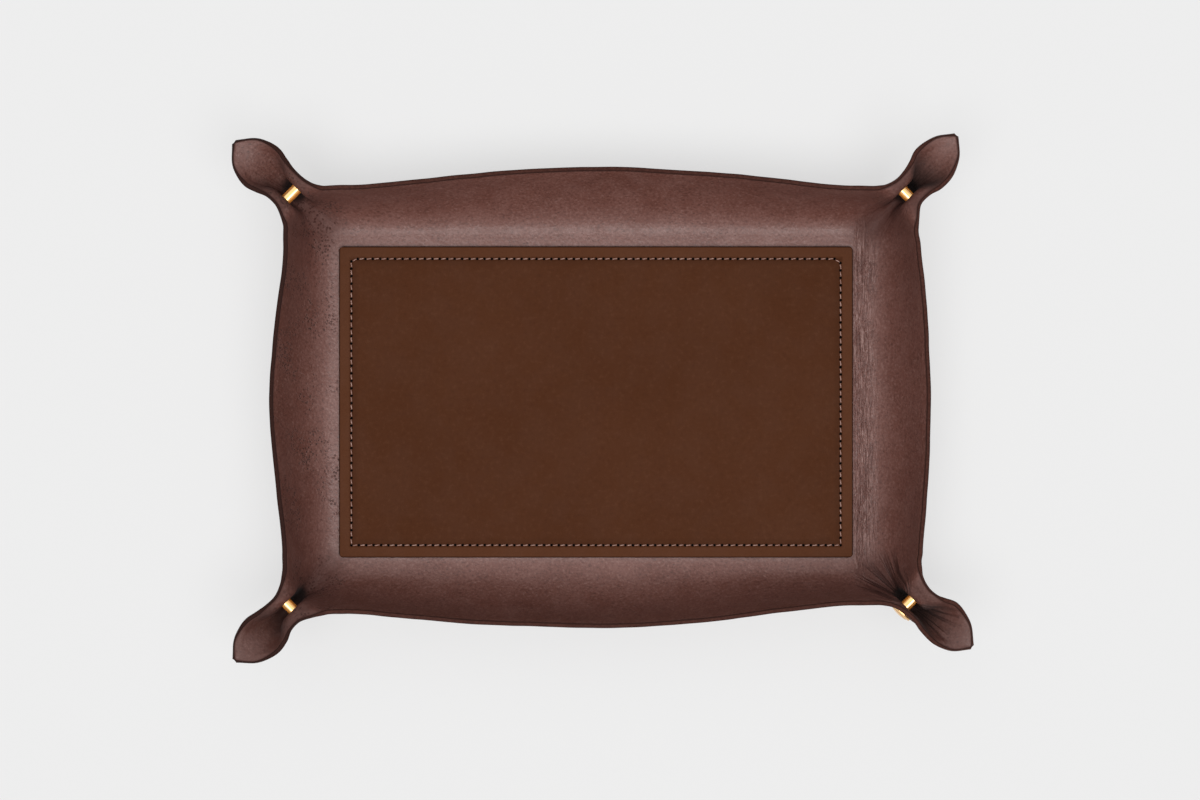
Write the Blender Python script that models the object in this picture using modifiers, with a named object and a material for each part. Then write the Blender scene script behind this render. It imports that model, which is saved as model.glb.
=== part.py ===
"""Leather tray, built as the real one is: a flat leather sheet whose four corners are pinched
up by brass binding posts, and a thinner leather panel stitched on its floor.

Run with blender --background --python part.py, or from Blender's text editor.
Units are metres, +Z is up, and the origin is under the middle of the tray.
"""

import math
from collections import namedtuple

import bmesh
import bpy
import numpy as np
from mathutils import Matrix, Vector

# Fits
CLEARANCE = 0.0003
CUT_OVERRUN = 0.004
MERGE_DISTANCE = 0.00001

# Stitched panel on the floor
PANEL_LENGTH = 0.256
PANEL_WIDTH = 0.155
PANEL_THICKNESS = 0.0020
PANEL_CORNER_RADIUS = 0.0022
PANEL_EDGE_ROUND = 0.0004
PANEL_SHIFT_X = -0.0020
PANEL_SHIFT_Y = -0.0022

# Seam that holds the panel
SEAM_INSET = 0.0062
SEAM_CORNER_RADIUS = 0.0012
STITCH_PITCH = 0.0037
STITCH_RISE = 0.00035
THREAD_DIAMETER = 0.0009
NEEDLE_GROOVE_DEPTH = 0.0008
SEAM_GROOVE_WIDTH = 0.0018
BOBBIN_RECESS = 0.00015

# Leather sheet, measured on the middle of its thickness
SHEET_THICKNESS = 0.0028
FLOOR_MARGIN = 0.0030
LONG_WALL_REACH = 0.0204
SHORT_WALL_REACH = 0.0210
LONG_WALL_BOW = 0.0102
SHORT_WALL_BOW = 0.0077
WALL_SWEEP = 0.0175
SIDE_RISE = 0.0350
TIP_RISE = 0.0446

# Pinched corners
POST_SETOUT = 0.0191
POST_HEIGHT = 0.0324
EAR_LENGTH = 0.0357
EAR_HALF_WIDTH = 0.0105
CHANNEL_HALF_WIDTH = 0.0090

# Brass binding posts and screws
BARREL_DIAMETER = 0.0054
BARREL_SHORTFALL = 0.0006
HEAD_DIAMETER = 0.0125
HEAD_THICKNESS = 0.0016
HEAD_DOME = 0.0006
HEAD_EDGE_ROUND = 0.0004
SCREW_SHANK_DIAMETER = 0.0034
SCREW_BORE_WALL = 0.0010
SLOT_WIDTH = 0.0012
SLOT_DEPTH = 0.0008
SLOT_DEGREES = {"back_left": 20, "back_right": 65, "front_left": -35, "front_right": 110}

# Each corner was folded by hand, so no two are alike. Signs give the corner's place. Swing
# is in degrees and turns the ear about its post toward the long side. The half gap is from
# the diagonal to the middle of the pinched leather. The other pairs are shares, for the long
# side and the short: how far the rim flares beyond the pinch, how far the end of the wall and
# the start of the fold stand out, and how wide the ear is. The post's shares are along X and Y.
NARROW_HALF_GAP = 0.0040
WIDE_HALF_GAP = 0.0053
RIM_FLARE = 0.0040
WALL_SHIFT = 0.0025
FOLD_SHIFT = 0.0033
POST_SHIFT = 0.0018
Corner = namedtuple(
    "Corner",
    "name signs swing half_gap flare_shares wall_shares fold_shares post_shares ear_shares",
)
CORNERS = (
    Corner("back_left", (-1, 1), -2.5, WIDE_HALF_GAP, (1.00, 0.80), (0, -0.4), (0, 0),
           (-0.1, -0.4), (1.10, 1.10)),
    Corner("back_right", (1, 1), 5.0, NARROW_HALF_GAP, (1.00, 1.02), (0, 0.6), (0, 0.75),
           (-0.8, -0.3), (0.89, 0.89)),
    Corner("front_left", (-1, -1), 0.0, NARROW_HALF_GAP, (1.15, 0.93), (0.84, 0), (0.6, 0),
           (0.4, 1.0), (1.00, 0.89)),
    Corner("front_right", (1, -1), -9.5, NARROW_HALF_GAP, (0.18, 1.85), (-0.84, 1.04),
           (-1.0, 1.0), (0, 0), (0.97, 1.02)),
)

# Ribs of a wall, from the middle of a side to the corner of the floor.
# Columns: place along the side, rise, sweep, lean and drop of the upper handle, turn toward
# the corner's diagonal, and how much of the wall's own shift the rib takes. Places are shares
# of the floor's half side, rises run from SIDE_RISE (0) to TIP_RISE (1), sweeps are shares of
# WALL_SWEEP, and leans and drops are shares of SIDE_RISE.
SIDE_RIB_SHARES = (
    (-0.26, 0.03, 0.99, 0.185, 0.47, 0.00, -0.08),
    (0.00, 0.00, 1.00, 0.190, 0.47, 0.00, 0.00),
    (0.26, 0.03, 0.99, 0.185, 0.47, 0.00, 0.08),
    (0.50, 0.14, 0.96, 0.150, 0.49, 0.00, 0.55),
    (0.70, 0.32, 0.93, 0.105, 0.53, 0.02, 0.90),
    (0.86, 0.50, 0.92, 0.062, 0.58, 0.10, 1.00),
    (1.00, 0.62, 0.92, 0.030, 0.62, 0.32, 1.00),
)
LONG_BOW_SPAN_SHARE = 0.90
SHORT_BOW_SPAN_SHARE = 0.90
RIM_DRAW_SHARE = 0.09

# Ribs of a corner, from just outside the floor to the tip of the ear.
# Columns: place of the fold line and its rise, place of the rim along and across the
# diagonal and its rise, sweep, lean and drop of the handles, and turn of the rib.
# Places before the post are shares of the way from the floor to the post and are negative,
# those after it are shares of EAR_LENGTH. Across is a share of EAR_HALF_WIDTH, rises are
# shares of TIP_RISE, sweeps of CHANNEL_HALF_WIDTH, and leans and drops of EAR_LENGTH.
CORNER_RIB_SHARES = (
    (-0.70, 0.034, -0.52, 1.50, 0.926, 1.26, 0.040, 0.55, 0.66),
    (-0.46, 0.096, -0.37, 1.19, 0.937, 1.08, 0.085, 0.43, 0.92),
    (-0.26, 0.177, -0.22, 0.95, 0.946, 1.00, None, 0.27, 1.00),
    (0.00, 0.285, 0.00, None, 0.951, 0.94, None, 0.16, 1.00),
    (0.18, 0.415, 0.18, None, 0.955, 0.85, None, 0.16, 1.00),
    (0.33, 0.565, 0.33, 0.88, 0.958, 0.74, 0.070, 0.18, 1.00),
    (0.49, 0.728, 0.49, 1.00, 0.963, 0.80, 0.050, 0.14, 1.00),
    (0.66, 0.868, 0.66, 0.92, 0.970, 0.64, 0.080, 0.07, 1.00),
    (0.82, 0.943, 0.82, 0.67, 0.980, 0.36, 0.060, 0.02, 1.00),
    (0.98, 0.985, 0.98, 0.09, 0.993, 0.03, 0.003, 0.002, 1.00),
)
PINCH_SHARE = 0.62
PINCH_SPREAD_SHARE = 0.6
LONG_SIDE, SHORT_SIDE = "long", "short"

# Fineness of the meshes
RIB_STEPS = 7
STEPS_PER_RIB = 2
STRAIGHTER_RIBS = 2
TURNED_STEPS = 20
SEAM_CORNER_STEPS = 4
THREAD_BEVEL_STEPS = 0

# Worked out from the sizes above
FLOOR_HALF = np.array((PANEL_LENGTH / 2 + FLOOR_MARGIN, PANEL_WIDTH / 2 + FLOOR_MARGIN))
FLOOR_MID = SHEET_THICKNESS / 2
FLOOR_TOP = SHEET_THICKNESS
POST_RUN = POST_SETOUT * math.sqrt(2)
PANEL_BOTTOM = FLOOR_TOP + CLEARANCE
PANEL_TOP = PANEL_BOTTOM + PANEL_THICKNESS
THREAD_RADIUS = THREAD_DIAMETER / 2
BARREL_RADIUS = BARREL_DIAMETER / 2
HEAD_RADIUS = HEAD_DIAMETER / 2
BORE_RADIUS = SCREW_SHANK_DIAMETER / 2 + CLEARANCE
BOBBIN_GROOVE_DEPTH = BOBBIN_RECESS + THREAD_DIAMETER + CLEARANCE


def collection_named(name):
    made = bpy.data.collections.new(name)
    bpy.context.scene.collection.children.link(made)
    return made


def material_named(name, colour, roughness, metallic=0.0):
    material = bpy.data.materials.new(name)
    material.use_nodes = True
    shader = material.node_tree.nodes["Principled BSDF"]
    shader.inputs["Base Color"].default_value = (*colour, 1.0)
    shader.inputs["Roughness"].default_value = roughness
    shader.inputs["Metallic"].default_value = metallic
    material.diffuse_color = (*colour, 1.0)
    return material


def add_object(name, mesh, collection, material=None):
    made = bpy.data.objects.new(name, mesh)
    collection.objects.link(made)
    if material:
        mesh.materials.append(material)
    return made


def hide_cutter(cutter):
    cutter.hide_render = True
    cutter.display_type = "WIRE"


def cut(piece, name, cutter):
    boolean = piece.modifiers.new(name, "BOOLEAN")
    boolean.operation = "DIFFERENCE"
    boolean.solver = "EXACT"
    boolean.object = cutter


def smooth_through(values, at):
    """Values of a smooth curve at the given places, through one row of values per rib."""
    values = np.asarray(values, float)
    slopes = np.gradient(values, axis=0)
    index = np.clip(np.floor(at).astype(int), 0, len(values) - 2)
    t = (at - index)[:, None]
    start, end = values[index], values[index + 1]
    start_slope, end_slope = slopes[index], slopes[index + 1]
    return (
        (2 * t**3 - 3 * t**2 + 1) * start
        + (t**3 - 2 * t**2 + t) * start_slope
        + (3 * t**2 - 2 * t**3) * end
        + (t**3 - t**2) * end_slope
    )


def spread(share):
    """Distance from the post along the diagonal for a share in the corner's table."""
    return share * (POST_RUN if share < 0 else EAR_LENGTH)


def pinch_lean(across, sweep, half_gap):
    """Lean that brings a rib through the half gap at the height of the post."""
    t = PINCH_SHARE
    first, second, third = 3 * (1 - t) ** 2 * t, 3 * (1 - t) * t**2, t**3
    return across - (half_gap - first * sweep - third * across) / second


def rib_table(corner, side):
    """Rows of rim point, sweep, lean, drop and turn, in (along the side, out, up)."""
    if side == LONG_SIDE:
        which, reach, bow, span_share = 0, LONG_WALL_REACH, LONG_WALL_BOW, LONG_BOW_SPAN_SHARE
    else:
        which, reach, bow, span_share = 1, SHORT_WALL_REACH, SHORT_WALL_BOW, SHORT_BOW_SPAN_SHARE
    along_half, out_half = FLOOR_HALF[which], FLOOR_HALF[1 - which]
    flare, ear_share = corner.flare_shares[which] * RIM_FLARE, corner.ear_shares[which]
    wall_shift = corner.wall_shares[which] * WALL_SHIFT
    fold_shift = corner.fold_shares[which] * FOLD_SHIFT
    rows = []
    for place, rise, sweep, lean, drop, turn, shift_share in SIDE_RIB_SHARES:
        along = along_half * place * (1 - RIM_DRAW_SHARE * place**2)
        arc = max(math.cos(math.pi / 2 * along / (along_half * span_share)), 0)
        out = out_half + reach + bow * arc + wall_shift * shift_share
        rim = (along, out, SIDE_RISE + rise * (TIP_RISE - SIDE_RISE))
        rows.append((*rim, sweep * WALL_SWEEP, lean * SIDE_RISE, drop * SIDE_RISE, turn))
    for _, _, place, across, rise, sweep, lean, drop, turn in CORNER_RIB_SHARES:
        sweep *= CHANNEL_HALF_WIDTH * corner.half_gap / NARROW_HALF_GAP
        if across is None:
            across = corner.half_gap + flare
        elif place < 0:
            across = across * EAR_HALF_WIDTH + fold_shift
            across += PINCH_SPREAD_SHARE * (corner.half_gap - NARROW_HALF_GAP) if lean is None else 0
        else:
            across = across * EAR_HALF_WIDTH * ear_share + fold_shift * (1 - place)
        lean = pinch_lean(across, sweep, corner.half_gap) if lean is None else lean * EAR_LENGTH
        along, out = diagonal_point(spread(place), across, along_half, out_half)
        rows.append((along, out, rise * TIP_RISE, sweep, lean, drop * EAR_LENGTH, turn))
    return rows


def diagonal_point(run, across, along_half, out_half):
    """(along, out) of a point given from the post, along the diagonal and across it."""
    root = math.sqrt(2)
    return (
        along_half + POST_SETOUT + (run - across) / root,
        out_half + POST_SETOUT + (run + across) / root,
    )


def stations():
    """Places along a wing, counted in ribs, from the middle of a side to the tip."""
    corner_rib = len(SIDE_RIB_SHARES) - 1
    straight = corner_rib - STRAIGHTER_RIBS
    ribs = corner_rib + len(CORNER_RIB_SHARES)
    bent = np.linspace(straight, ribs, (ribs - straight) * STEPS_PER_RIB + 1)
    return np.concatenate([np.arange(1, straight), bent])


def fold_line(at, along_half, out_half):
    """Inner end of each rib and the fold line's slope: floor edge, then the diagonal."""
    corner_rib = len(SIDE_RIB_SHARES) - 1
    side_places = np.array([row[0] for row in SIDE_RIB_SHARES])
    runs = np.array([-POST_RUN] + [spread(row[0]) for row in CORNER_RIB_SHARES])
    rises = np.array([0.0] + [row[1] * TIP_RISE for row in CORNER_RIB_SHARES])
    on_side = at <= corner_rib
    side = smooth_through(side_places[:, None], at)[:, 0] * along_half
    past = np.clip(at - corner_rib, 0, None)
    run = smooth_through(runs[:, None], past)[:, 0]
    rise = np.maximum(smooth_through(rises[:, None], past)[:, 0], 0)
    along, out = diagonal_point(run, 0, along_half, out_half)
    points = np.stack(
        [np.where(on_side, side, along), np.where(on_side, out_half, out), rise], axis=1
    )
    slope = eased(past) * np.gradient(rise) / np.maximum(np.gradient(run), MERGE_DISTANCE)
    return points, slope, np.where(on_side, -POST_RUN, run)


def wing(corner, side):
    """Grid of points of one half side and one half ear, in the tray's own axes."""
    along_half, out_half = FLOOR_HALF if side == LONG_SIDE else FLOOR_HALF[::-1]
    at = stations()
    table = smooth_through(rib_table(corner, side), at)
    inner, slope, run = fold_line(at, along_half, out_half)
    rim, sweep, lean, drop, turn = np.split(table, [3, 4, 5, 6], axis=1)
    turn = np.clip(turn, 0, 1)
    root = math.sqrt(2)
    heading = np.concatenate([-turn / root, 1 - turn + turn / root], axis=1)
    heading /= np.linalg.norm(heading, axis=1, keepdims=True)
    climb = (heading.sum(axis=1) / root * slope)[:, None]
    first = inner + sweep * np.concatenate([heading, climb], axis=1)
    second = rim - np.concatenate([heading * lean, drop], axis=1)
    t = np.linspace(0, 1, RIB_STEPS + 1)[None, :, None]
    grid = (
        (1 - t) ** 3 * inner[:, None]
        + 3 * (1 - t) ** 2 * t * first[:, None]
        + 3 * (1 - t) * t**2 * second[:, None]
        + t**3 * rim[:, None]
    )
    grid = swung(grid, run, corner.swing * (1 if side == LONG_SIDE else -1), along_half, out_half)
    if side == SHORT_SIDE:
        grid = grid[:, :, [1, 0, 2]]
    grid[:, :, :2] += eased(1 + run / POST_RUN)[:, None, None] * post_shift(corner)
    return grid * (*corner.signs, 1) + (0, 0, FLOOR_MID)


def eased(share):
    """Share from 0 to 1 that starts and ends level."""
    share = np.clip(share, 0, 1)
    return share**2 * (3 - 2 * share)


def post_shift(corner):
    return np.array(corner.post_shares) * POST_SHIFT


def swung(grid, run, degrees, along_half, out_half):
    """Turns each rib of the ear about the post, fully from half way along the ear."""
    angle = np.radians(degrees) * eased(run / (EAR_LENGTH / 2))
    post = np.array(diagonal_point(0, 0, along_half, out_half))
    cosine, sine = np.cos(angle)[:, None], np.sin(angle)[:, None]
    along, out = grid[..., 0] - post[0], grid[..., 1] - post[1]
    plan = np.stack([along * cosine - out * sine, along * sine + out * cosine], axis=2) + post
    return np.concatenate([plan, grid[..., 2:]], axis=2)


def add_grid(mesh, grid):
    """Joins a grid of points with quads."""
    verts = [[mesh.verts.new(point) for point in row] for row in grid]
    for row, following in zip(verts, verts[1:]):
        for corners in zip(row, row[1:], following[1:], following):
            mesh.faces.new(corners)


def floor_outline():
    """Corners and rib places round the flat floor, anticlockwise."""
    at = stations()
    at = at[at <= len(SIDE_RIB_SHARES) - 1]
    half_sides = [fold_line(at, half, half)[0][:, 0] for half in FLOOR_HALF]
    along_x, along_y = (np.concatenate([-half[:0:-1], half]) for half in half_sides)
    half_x, half_y = FLOOR_HALF
    return (
        [(x, -half_y) for x in along_x[:-1]]
        + [(half_x, y) for y in along_y[:-1]]
        + [(x, half_y) for x in along_x[:0:-1]]
        + [(-half_x, y) for y in along_y[:0:-1]]
    )


def sheet_surface():
    """Open surface of the folded sheet: a flat floor, four walls and four ears."""
    surface = bmesh.new()
    for corner in CORNERS:
        for side in (LONG_SIDE, SHORT_SIDE):
            add_grid(surface, wing(corner, side))
    surface.faces.new([surface.verts.new((*place, FLOOR_MID)) for place in floor_outline()])
    bmesh.ops.remove_doubles(surface, verts=surface.verts, dist=MERGE_DISTANCE)
    bmesh.ops.recalc_face_normals(surface, faces=surface.faces)
    mesh = bpy.data.meshes.new("tray_sheet")
    surface.to_mesh(mesh)
    surface.free()
    mesh.shade_smooth()
    return mesh


def post_axis(corner):
    """Matrix of a post: local X runs out to the ear, local Z to the long side."""
    root = math.sqrt(2)
    x_sign, y_sign = corner.signs
    outward = Vector((x_sign / root, y_sign / root, 0))
    to_long_side = Vector((-x_sign / root, y_sign / root, 0))
    plan = (FLOOR_HALF + POST_SETOUT + post_shift(corner)) * corner.signs
    place = Vector((*plan, FLOOR_MID + POST_HEIGHT))
    axes = Matrix((outward, to_long_side.cross(outward), to_long_side)).transposed().to_4x4()
    return Matrix.Translation(place) @ axes


def turned(name, profile, collection, material=None):
    """Solid turned about local Z from a profile that runs down its outer side."""
    mesh = bpy.data.meshes.new(name)
    points = [(radius, 0, height) for radius, height in profile]
    mesh.from_pydata(points, [(i, i + 1) for i in range(len(points) - 1)], [])
    made = add_object(name, mesh, collection, material)
    screw = made.modifiers.new("turn", "SCREW")
    screw.axis = "Z"
    screw.steps = screw.render_steps = TURNED_STEPS
    screw.use_merge_vertices = True
    screw.merge_threshold = MERGE_DISTANCE
    screw.use_smooth_shade = True
    return made


def head_profile(seat):
    """Outer side of a low domed head whose underside is at the given height."""
    rim_top = seat + HEAD_THICKNESS - HEAD_DOME
    return [
        (0, seat + HEAD_THICKNESS),
        (HEAD_RADIUS / 2, seat + HEAD_THICKNESS - HEAD_DOME / 4),
        (HEAD_RADIUS - HEAD_EDGE_ROUND, rim_top),
        (HEAD_RADIUS, rim_top - HEAD_EDGE_ROUND),
        (HEAD_RADIUS, seat),
    ]


def seat_height(corner):
    """Height of a head's underside over the middle of the post: the pinched outer face."""
    return corner.half_gap + SHEET_THICKNESS / 2


def make_post(corner, collection, material):
    """Smooth head with a barrel that crosses both walls, bored for the screw."""
    seat = seat_height(corner)
    barrel_end = BARREL_SHORTFALL - seat
    bore_end = seat - SCREW_BORE_WALL
    profile = head_profile(seat) + [
        (BARREL_RADIUS, seat),
        (BARREL_RADIUS, barrel_end),
        (BORE_RADIUS, barrel_end),
        (BORE_RADIUS, bore_end),
        (0, bore_end),
    ]
    post = turned(f"{corner.name}_post", profile, collection, material)
    post.matrix_world = post_axis(corner)


def make_screw(corner, collection, cutters, material):
    """Slotted head on the short side, with a shank in the bore of the barrel."""
    seat = seat_height(corner)
    shank_end = CLEARANCE + SCREW_BORE_WALL - seat
    profile = head_profile(seat) + [
        (SCREW_SHANK_DIAMETER / 2, seat),
        (SCREW_SHANK_DIAMETER / 2, shank_end),
        (0, shank_end),
    ]
    screw = turned(f"{corner.name}_screw", profile, collection, material)
    screw.matrix_world = post_axis(corner) @ Matrix.Rotation(math.pi, 4, "X")
    slot = bmesh.new()
    bmesh.ops.create_cube(slot, size=1)
    size = (HEAD_DIAMETER + CUT_OVERRUN, SLOT_WIDTH, 2 * SLOT_DEPTH)
    bmesh.ops.scale(slot, vec=size, verts=slot.verts)
    mesh = bpy.data.meshes.new(f"{corner.name}_slot")
    slot.to_mesh(mesh)
    slot.free()
    cutter = add_object(mesh.name, mesh, cutters)
    turn = Matrix.Rotation(math.radians(SLOT_DEGREES[corner.name]), 4, "Z")
    height = Matrix.Translation((0, 0, seat + HEAD_THICKNESS))
    cutter.matrix_world = screw.matrix_world @ turn @ height
    hide_cutter(cutter)
    cut(screw, "slot", cutter)


def hole_cutter(corner, cutters):
    """One turned cutter for the holes in both walls and the pressed seats of both heads."""
    seat = seat_height(corner) - CLEARANCE
    far = seat + HEAD_THICKNESS + CUT_OVERRUN
    hole = BARREL_RADIUS + CLEARANCE
    pocket = HEAD_RADIUS + CLEARANCE
    profile = [
        (0, far),
        (pocket, far),
        (pocket, seat),
        (hole, seat),
        (hole, -seat),
        (pocket, -seat),
        (pocket, -far),
        (0, -far),
    ]
    cutter = turned(f"{corner.name}_hole", profile, cutters)
    cutter.matrix_world = post_axis(corner)
    hide_cutter(cutter)
    return cutter


def seam_path(inset, radius):
    """Closed loop of points, a rectangle with round corners about the panel's middle."""
    half = (PANEL_LENGTH / 2 - inset, PANEL_WIDTH / 2 - inset)
    points = []
    for quarter, (x_sign, y_sign) in enumerate(((1, 1), (-1, 1), (-1, -1), (1, -1))):
        for step in range(SEAM_CORNER_STEPS + 1):
            angle = math.pi / 2 * (quarter + step / SEAM_CORNER_STEPS)
            points.append(
                (
                    x_sign * (half[0] - radius) + radius * math.cos(angle) + PANEL_SHIFT_X,
                    y_sign * (half[1] - radius) + radius * math.sin(angle) + PANEL_SHIFT_Y,
                )
            )
    return points


def flat_ring(name, outer, inner, low, high, collection):
    """Plate between two closed outlines, as an extruded flat curve made a mesh."""
    curve = bpy.data.curves.new(name, "CURVE")
    curve.dimensions = "2D"
    curve.fill_mode = "BOTH"
    curve.extrude = (high - low) / 2
    for outline in filter(None, (outer, inner)):
        spline = curve.splines.new("POLY")
        spline.points.add(len(outline) - 1)
        for point, (x, y) in zip(spline.points, outline):
            point.co = (x, y, 0, 1)
        spline.use_cyclic_u = True
    guide = add_object(name, curve, collection)
    guide.location.z = (low + high) / 2
    bpy.context.view_layer.update()
    graph = bpy.context.evaluated_depsgraph_get()
    mesh = bpy.data.meshes.new_from_object(guide.evaluated_get(graph))
    welded = bmesh.new()
    welded.from_mesh(mesh)
    bmesh.ops.remove_doubles(welded, verts=welded.verts, dist=MERGE_DISTANCE)
    bmesh.ops.recalc_face_normals(welded, faces=welded.faces)
    welded.to_mesh(mesh)
    welded.free()
    made = add_object(name, mesh, collection)
    made.matrix_world = guide.matrix_world
    bpy.data.objects.remove(guide)
    bpy.data.curves.remove(curve)
    made.name = name
    return made


def groove_cutter(name, low, high, cutters):
    half = SEAM_GROOVE_WIDTH / 2
    outer = seam_path(SEAM_INSET - half, SEAM_CORNER_RADIUS + half)
    inner = seam_path(SEAM_INSET + half, SEAM_CORNER_RADIUS - half)
    cutter = flat_ring(name, outer, inner, low, high, cutters)
    hide_cutter(cutter)
    return cutter


def make_sheet(collection, cutters, material):
    sheet = add_object("tray_sheet", sheet_surface(), collection, material)
    solid = sheet.modifiers.new("thickness", "SOLIDIFY")
    solid.thickness = SHEET_THICKNESS
    solid.offset = 0
    for corner in CORNERS:
        cut(sheet, f"{corner.name} hole", hole_cutter(corner, cutters))
    groove = groove_cutter("bobbin_groove", -CUT_OVERRUN, BOBBIN_GROOVE_DEPTH, cutters)
    cut(sheet, "bobbin groove", groove)


def make_panel(collection, cutters, material):
    outline = seam_path(0, PANEL_CORNER_RADIUS)
    panel = flat_ring("centre_panel", outline, None, PANEL_BOTTOM, PANEL_TOP, collection)
    panel.data.materials.append(material)
    bevel = panel.modifiers.new("burnished edge", "BEVEL")
    bevel.width = PANEL_EDGE_ROUND
    bevel.segments = 1
    low = PANEL_TOP - NEEDLE_GROOVE_DEPTH
    groove = groove_cutter("needle_groove", low, PANEL_TOP + CUT_OVERRUN, cutters)
    cut(panel, "needle groove", groove)


def thread_loop(name, points, collection, material):
    """Closed loop of thread along the given points."""
    curve = bpy.data.curves.new(name, "CURVE")
    curve.dimensions = "3D"
    curve.bevel_depth = THREAD_RADIUS
    curve.bevel_resolution = THREAD_BEVEL_STEPS
    spline = curve.splines.new("POLY")
    spline.points.add(len(points) - 1)
    for point, place in zip(spline.points, points):
        point.co = (*place, 1)
    spline.use_cyclic_u = True
    add_object(name, curve, collection, material)


def make_needle_thread(collection, material):
    """Upper thread: one point at each hole, low, and one between, on the stitch's back."""
    corners = seam_path(SEAM_INSET, 0)[:: SEAM_CORNER_STEPS + 1]
    low = PANEL_TOP - NEEDLE_GROOVE_DEPTH + CLEARANCE + THREAD_RADIUS
    points = []
    for start, end in zip(corners, corners[1:] + corners[:1]):
        start, end = Vector(start), Vector(end)
        count = 2 * round((end - start).length / STITCH_PITCH)
        for step in range(count):
            place = start.lerp(end, step / count)
            points.append((*place, low + STITCH_RISE * (step % 2)))
    thread_loop("needle_thread", points, collection, material)


def make_bobbin_thread(collection, material):
    """Lower thread, flat in its groove under the floor."""
    height = BOBBIN_RECESS + THREAD_RADIUS
    points = [(x, y, height) for x, y in seam_path(SEAM_INSET, SEAM_CORNER_RADIUS)]
    thread_loop("bobbin_thread", points, collection, material)


def main():
    for old in list(bpy.data.objects):
        bpy.data.objects.remove(old)
    tray = collection_named("leather_tray")
    cutters = collection_named("cutters")
    leather = material_named("sheet_leather", (0.105, 0.052, 0.045), 0.5)
    panel_leather = material_named("panel_leather", (0.080, 0.028, 0.015), 0.55)
    thread = material_named("waxed_thread", (0.33, 0.20, 0.16), 0.6)
    brass = material_named("brass", (0.72, 0.50, 0.24), 0.28, metallic=1.0)
    make_sheet(tray, cutters, leather)
    make_panel(tray, cutters, panel_leather)
    make_needle_thread(tray, thread)
    make_bobbin_thread(tray, thread)
    for corner in CORNERS:
        make_post(corner, tray, brass)
        make_screw(corner, tray, cutters, brass)


main()
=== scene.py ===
from collections import namedtuple
from math import copysign, cos, hypot, pi, radians, sin, sqrt

import bmesh
import bpy
import numpy as np
from mathutils import Matrix, Vector, kdtree, noise


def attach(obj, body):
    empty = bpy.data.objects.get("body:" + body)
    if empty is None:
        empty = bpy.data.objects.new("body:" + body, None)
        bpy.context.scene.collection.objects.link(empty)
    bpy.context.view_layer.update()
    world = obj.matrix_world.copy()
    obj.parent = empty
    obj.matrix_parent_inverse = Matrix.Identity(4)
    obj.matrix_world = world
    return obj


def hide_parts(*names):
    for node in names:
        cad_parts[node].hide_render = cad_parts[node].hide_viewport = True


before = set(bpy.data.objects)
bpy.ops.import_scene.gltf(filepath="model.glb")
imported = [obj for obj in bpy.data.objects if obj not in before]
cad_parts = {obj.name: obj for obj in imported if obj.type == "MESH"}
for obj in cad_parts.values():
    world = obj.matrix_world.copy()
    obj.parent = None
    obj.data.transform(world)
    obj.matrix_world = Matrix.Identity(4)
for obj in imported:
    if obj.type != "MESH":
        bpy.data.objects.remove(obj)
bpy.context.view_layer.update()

# Sizes in metres: the part's own, a few of them finer here
PANEL_LENGTH, PANEL_WIDTH, PANEL_THICKNESS = 0.256, 0.155, 0.0020
PANEL_CORNER_RADIUS = 0.0022
PANEL_MIDDLE = np.array((-0.0020, -0.0022))
SEAM_INSET = 0.0062
STITCH_PITCH = 0.0037
THREAD_RADIUS = 0.00024
HOLE_RADIUS = 0.00084
GROOVE_DEPTH, GROOVE_HALF_WIDTH = 0.00125, 0.0008
SHEET_THICKNESS = 0.0028
FLOOR_MARGIN = 0.0030
LONG_SIDE, SHORT_SIDE = "long", "short"
# axis along the side, reach, bow
WALLS = {LONG_SIDE: (0, 0.0204, 0.0102), SHORT_SIDE: (1, 0.0210, 0.0077)}
WALL_SWEEP = 0.0138
SIDE_RISE, TIP_RISE = 0.0350, 0.0446
POST_SETOUT, POST_HEIGHT = 0.0191, 0.0324
EAR_LENGTH, EAR_HALF_WIDTH = 0.0357, 0.0105
CHANNEL_HALF_WIDTH = 0.0090
BARREL_RADIUS, BARREL_SHORTFALL = 0.0027, 0.0006
HEAD_RADIUS, HEAD_THICKNESS, HEAD_DOME, STEP_DEPTH = 0.00625, 0.0025, 0.0012, 0.00022
SHANK_RADIUS, BORE_RADIUS, SCREW_BORE_WALL = 0.0017, 0.0020, 0.0010
THREAD_PITCH = 0.0007
SLOT_WIDTH, SLOT_DEPTH = 0.0012, 0.0010
SLOT_DEGREES = {"back_left": 20, "back_right": 65, "front_left": -35, "front_right": 110}

Corner = namedtuple(
    "Corner",
    "name signs swing half_gap flare_shares wall_shares fold_shares post_shares ear_shares",
)
NARROW, WIDE = 0.0040, 0.0053
RIM_FLARE = 0.0040
WALL_SHIFT, FOLD_SHIFT, POST_SHIFT = 0.0025, 0.0033, 0.0018
CORNERS = (
    Corner("back_left", (-1, 1), -2.5, WIDE, (1.00, 0.80), (0, -0.4), (0, 0),
           (-0.1, -0.4), (1.10, 1.10)),
    Corner("back_right", (1, 1), 5.0, NARROW, (1.00, 1.02), (0, 0.6), (0, 0.75),
           (-0.8, -0.3), (0.89, 0.89)),
    Corner("front_left", (-1, -1), 0.0, NARROW, (1.15, 0.93), (0.84, 0), (0.6, 0),
           (0.4, 1.0), (1.00, 0.89)),
    Corner("front_right", (1, -1), -9.5, NARROW, (0.18, 1.85), (-0.84, 1.04),
           (-1.0, 1.0), (0, 0), (0.97, 1.02)),
)
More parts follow.
